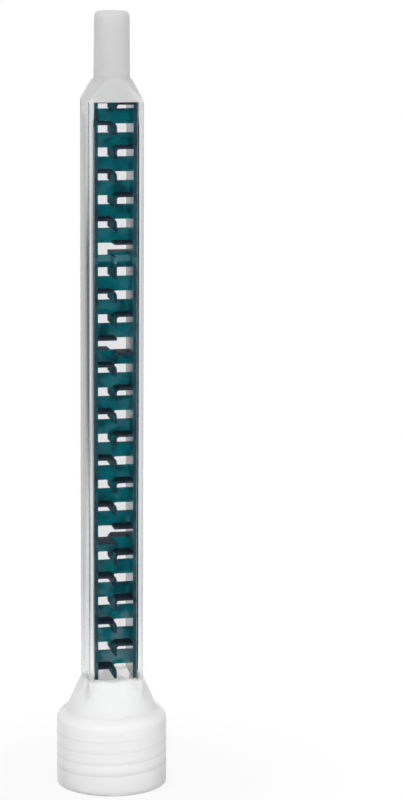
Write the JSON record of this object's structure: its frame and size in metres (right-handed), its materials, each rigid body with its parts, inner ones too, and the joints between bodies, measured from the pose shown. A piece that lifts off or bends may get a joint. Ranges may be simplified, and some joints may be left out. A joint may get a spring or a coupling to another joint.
{
  "type": "static mixer",
  "caption": "Square static mixing nozzle: clear moulded housing with a threaded skirt and a round outlet tip, holding stacked teal mixing inserts.",
  "frame": {"origin": "centre of the skirt's lower rim, on the surface that the mixer stands on", "axes": "+Z along the flow axis towards the outlet tip, +X and -Y normal to flat sides of the square tube, with the inserts open along Y"},
  "size_m": [0.0263, 0.0262, 0.1838],
  "materials": {
    "clear_housing": "clear natural polypropylene, slightly milky where thick",
    "teal_insert": "moulded, satin"
  },
  "bodies": {
    "root": {"housing": "clear_housing", "upper_insert": "teal_insert", "lower_insert": "teal_insert"}
  },
  "joints": []
}
